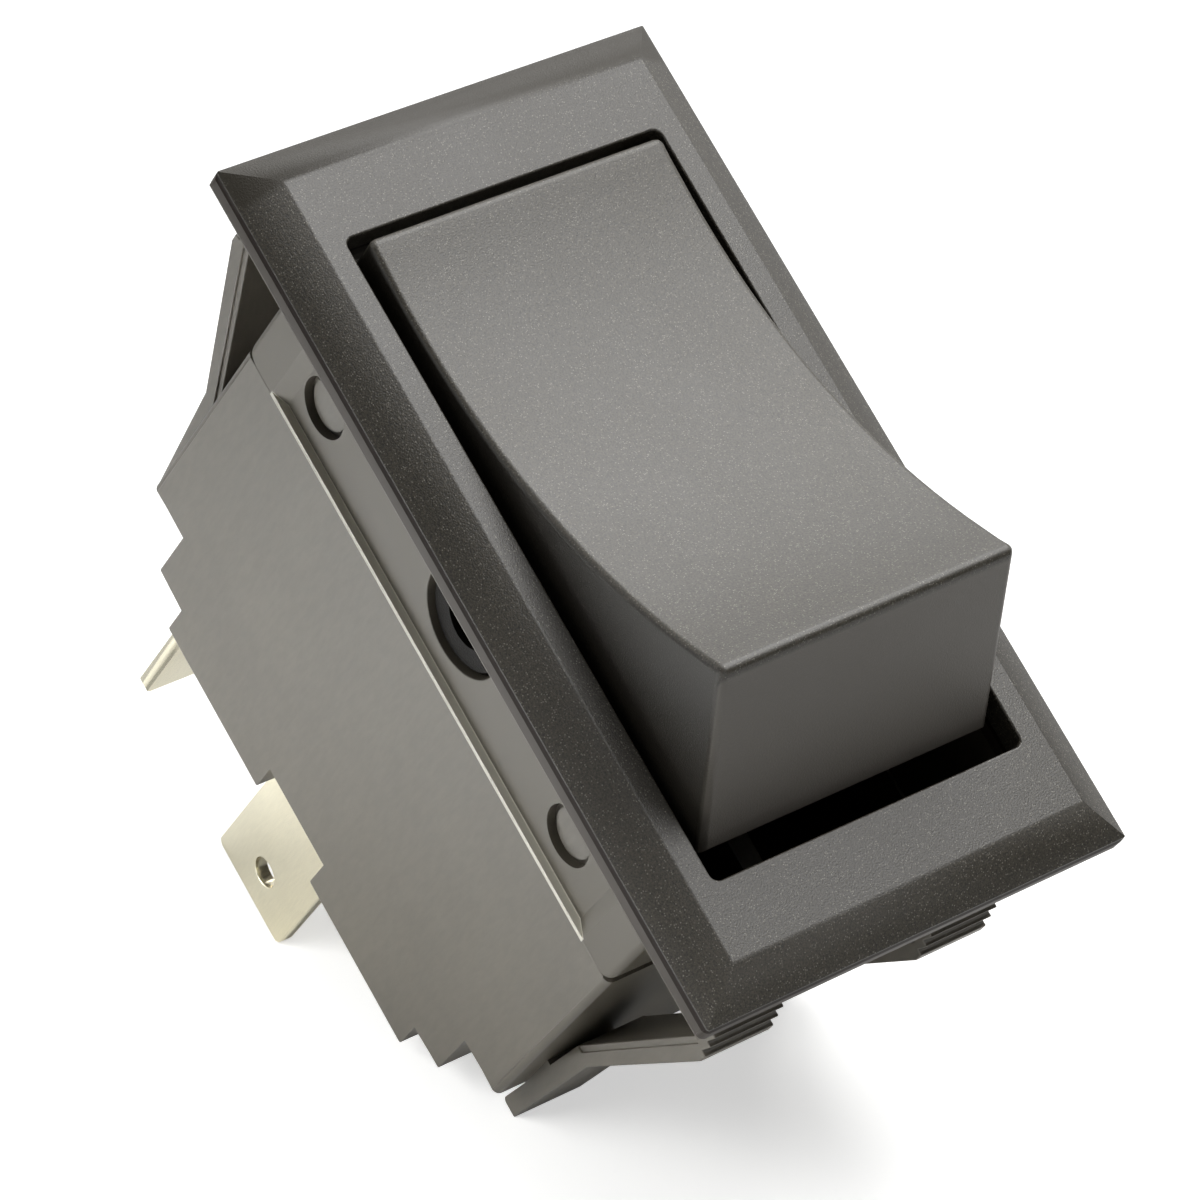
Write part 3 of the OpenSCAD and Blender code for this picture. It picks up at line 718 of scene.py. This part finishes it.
@dataclass
class Studio:
    """White table, soft lamps, black cards and the camera.

    The switch leans on the tips of its blades and the feet of its legs, so the table is a
    plane through those, turned by the lean angle about Y. The table's up direction is
    (-sin lean, 0, cos lean).
    """

    lean_deg: float = 38.1
    foot_drop: float = 31.42 * MM
    table_reach: tuple[float, float, float, float] = (0.60, 0.10, 0.05, 0.60)
    camera_place: tuple[float, float, float] = (58.21 * MM, -139.97 * MM, 213.33 * MM)
    camera_right: tuple[float, float, float] = (0.48845, 0.78979, 0.37101)
    camera_down: tuple[float, float, float] = (0.84553, -0.32333, -0.42489)
    lens_mm: float = 167.64
    glow: float = 0.57
    gloss_glow: float = 0.09
    room: float = 0.05
    softboxes: tuple[Softbox, ...] = (
        Softbox("key_softbox", 0.13, 0.02, 0.26, 0.22, 0.74),
        Softbox("back_softbox", 0.06, 0.18, 0.26, 0.14, 0.36),
        Softbox("paper_lamp", -0.09, -0.05, 0.03, 0.10, 0.2, down=True, spread_deg=120),
    )
    cards: tuple[DarkCard, ...] = (
        DarkCard("front_card", -0.14, -0.42, 0.42, 0.62),
        DarkCard("right_card", 0.26, -0.06, 0.02, 0.30),
    )

    def build(self) -> None:
        """Adds the table, the world, the lamps, the cards and the camera."""
        self.table()
        self.world()
        for card in self.cards:
            self.card(card)
        for box in self.softboxes:
            self.lamp(box)
        self.camera()
        bpy.context.scene.view_settings.view_transform = "Standard"

    def directions(self) -> tuple[Vector, Vector, Vector]:
        """Works out the table's right, away and up directions as the camera sees them.

        Returns:
            Three unit vectors in the switch's frame.
        """
        lean = math.radians(self.lean_deg)
        up = Vector((-math.sin(lean), 0, math.cos(lean)))
        right = Vector(self.camera_right)
        right = (right - right.dot(up) * up).normalized()
        return right, up.cross(right), up

    def table(self) -> None:
        """Adds the table top: white to the camera and shaded under the switch.

        It reaches by table_reach to the left, right, front and back. It lets the camera see
        through it from below, so that views from there show the switch.
        """
        right, away, up = (np.array(v) for v in self.directions())
        to_left, to_right, to_front, to_back = self.table_reach
        spots = ((-to_left, -to_front), (to_right, -to_front), (to_right, to_back), (-to_left, to_back))
        corners = np.array([x * right + y * away - self.foot_drop * up for x, y in spots])
        obj = mesh_object("table_top", corners, np.array([[0, 1, 2, 3]]), smooth=False)
        material = bpy.data.materials.new("paper_matt_white")
        material.use_nodes = True
        tree = material.node_tree
        tree.nodes.clear()
        rays = add_node(tree, "ShaderNodeLightPath")
        side = add_node(tree, "ShaderNodeNewGeometry")
        paper = add_node(tree, "ShaderNodeBsdfDiffuse", Color=linear("#e6e6e4"))
        shown = add_node(
            tree, "ShaderNodeMapRange", {"Value": rays.outputs["Is Camera Ray"]},
            To_Min=self.gloss_glow, To_Max=self.glow,
        )
        strength = add_node(
            tree, "ShaderNodeMath", {0: self.seen_share(tree, rays), 1: shown.outputs["Result"]},
            operation="MULTIPLY",
        )
        glow = add_node(
            tree, "ShaderNodeEmission", {"Strength": strength.outputs[0]}, Color=linear("#ffffff"),
        )
        both = add_node(tree, "ShaderNodeAddShader", {0: paper.outputs[0], 1: glow.outputs[0]})
        below = add_node(
            tree, "ShaderNodeMath", {0: rays.outputs["Is Camera Ray"], 1: side.outputs["Backfacing"]},
            operation="MULTIPLY",
        )
        clear = add_node(tree, "ShaderNodeBsdfTransparent")
        top = add_node(
            tree, "ShaderNodeMixShader", {0: below.outputs[0], 1: both.outputs[0], 2: clear.outputs[0]},
        )
        add_node(tree, "ShaderNodeOutputMaterial", {"Surface": top.outputs[0]})
        obj.data.materials.append(material)

    @staticmethod
    def seen_share(tree: bpy.types.NodeTree, rays: bpy.types.Node) -> bpy.types.NodeSocket:
        """Adds 1 for rays that show the background, straight or in gloss or glass, and 0 for the rest.

        Args:
            tree: the node tree.
            rays: its light path node.

        Returns:
            The output with 1 or 0.
        """
        share = rays.outputs["Is Camera Ray"]
        for kind in ("Is Glossy Ray", "Is Transmission Ray"):
            either = add_node(tree, "ShaderNodeMath", {0: share, 1: rays.outputs[kind]}, operation="MAXIMUM")
            share = either.outputs[0]
        return share

    def card(self, card: DarkCard) -> None:
        """Adds one black card that faces the switch.

        Args:
            card: its place and size.
        """
        right, away, up = self.directions()
        middle = card.right * right + card.away * away + card.up * up
        turn = (-middle).to_track_quat("Z", "Y")
        half = card.size / 2
        signs = ((-1, -1), (1, -1), (1, 1), (-1, 1))
        corners = [middle + turn @ Vector((x * half, y * half, 0)) for x, y in signs]
        obj = mesh_object(card.name, np.array(corners), np.array([[0, 1, 2, 3]]), smooth=False)
        material = bpy.data.materials.new(f"{card.name}_felt_black")
        material.use_nodes = True
        tree = material.node_tree
        tree.nodes.clear()
        rays = add_node(tree, "ShaderNodeLightPath")
        felt = add_node(tree, "ShaderNodeBsdfDiffuse", Color=linear("#0a0a0a"))
        clear = add_node(tree, "ShaderNodeBsdfTransparent")
        mix = add_node(
            tree, "ShaderNodeMixShader",
            {0: rays.outputs["Is Camera Ray"], 1: felt.outputs[0], 2: clear.outputs[0]},
        )
        add_node(tree, "ShaderNodeOutputMaterial", {"Surface": mix.outputs[0]})
        obj.data.materials.append(material)

    def world(self) -> None:
        """Lights the room evenly and dimly, and shows white to the camera and in gloss."""
        world = bpy.data.worlds.new("studio")
        bpy.context.scene.world = world
        world.use_nodes = True
        tree = world.node_tree
        tree.nodes.clear()
        rays = add_node(tree, "ShaderNodeLightPath")
        white = add_node(tree, "ShaderNodeBackground", Strength=1.0, Color=linear("#ffffff"))
        room = add_node(tree, "ShaderNodeBackground", Strength=self.room, Color=linear("#f4f6fa"))
        mix = add_node(
            tree, "ShaderNodeMixShader",
            {0: self.seen_share(tree, rays), 1: room.outputs[0], 2: white.outputs[0]},
        )
        add_node(tree, "ShaderNodeOutputWorld", {"Surface": mix.outputs[0]})

    def lamp(self, box: Softbox) -> None:
        """Adds one softbox that faces the switch, or straight down.

        Args:
            box: its place, size and power.
        """
        right, away, up = self.directions()
        light = bpy.data.lights.new(box.name, "AREA")
        light.shape = "SQUARE"
        light.size = box.size
        light.energy = box.power
        light.spread = math.radians(box.spread_deg)
        obj = bpy.data.objects.new(box.name, light)
        obj.location = box.right * right + box.away * away + box.up * up
        aim = -up if box.down else -obj.location
        obj.rotation_euler = aim.to_track_quat("-Z", "Y").to_euler()
        bpy.context.scene.collection.objects.link(obj)

    def camera(self) -> None:
        """Adds the camera, given by its place and its right and down directions."""
        right = Vector(self.camera_right).normalized()
        up = -Vector(self.camera_down)
        up = (up - up.dot(right) * right).normalized()
        data = bpy.data.cameras.new("camera")
        data.lens = self.lens_mm
        data.sensor_width = 36.0
        data.clip_start = 0.01
        obj = bpy.data.objects.new("camera", data)
        turn = Matrix((right, up, right.cross(up))).transposed().to_4x4()
        obj.matrix_world = Matrix.Translation(self.camera_place) @ turn
        bpy.context.scene.collection.objects.link(obj)
        bpy.context.scene.camera = obj


def main() -> None:
    logging.basicConfig(level=logging.INFO, format="%(name)s: %(message)s")
    Studio().build()
    Switch().build()


if __name__ == "__main__":
    main()
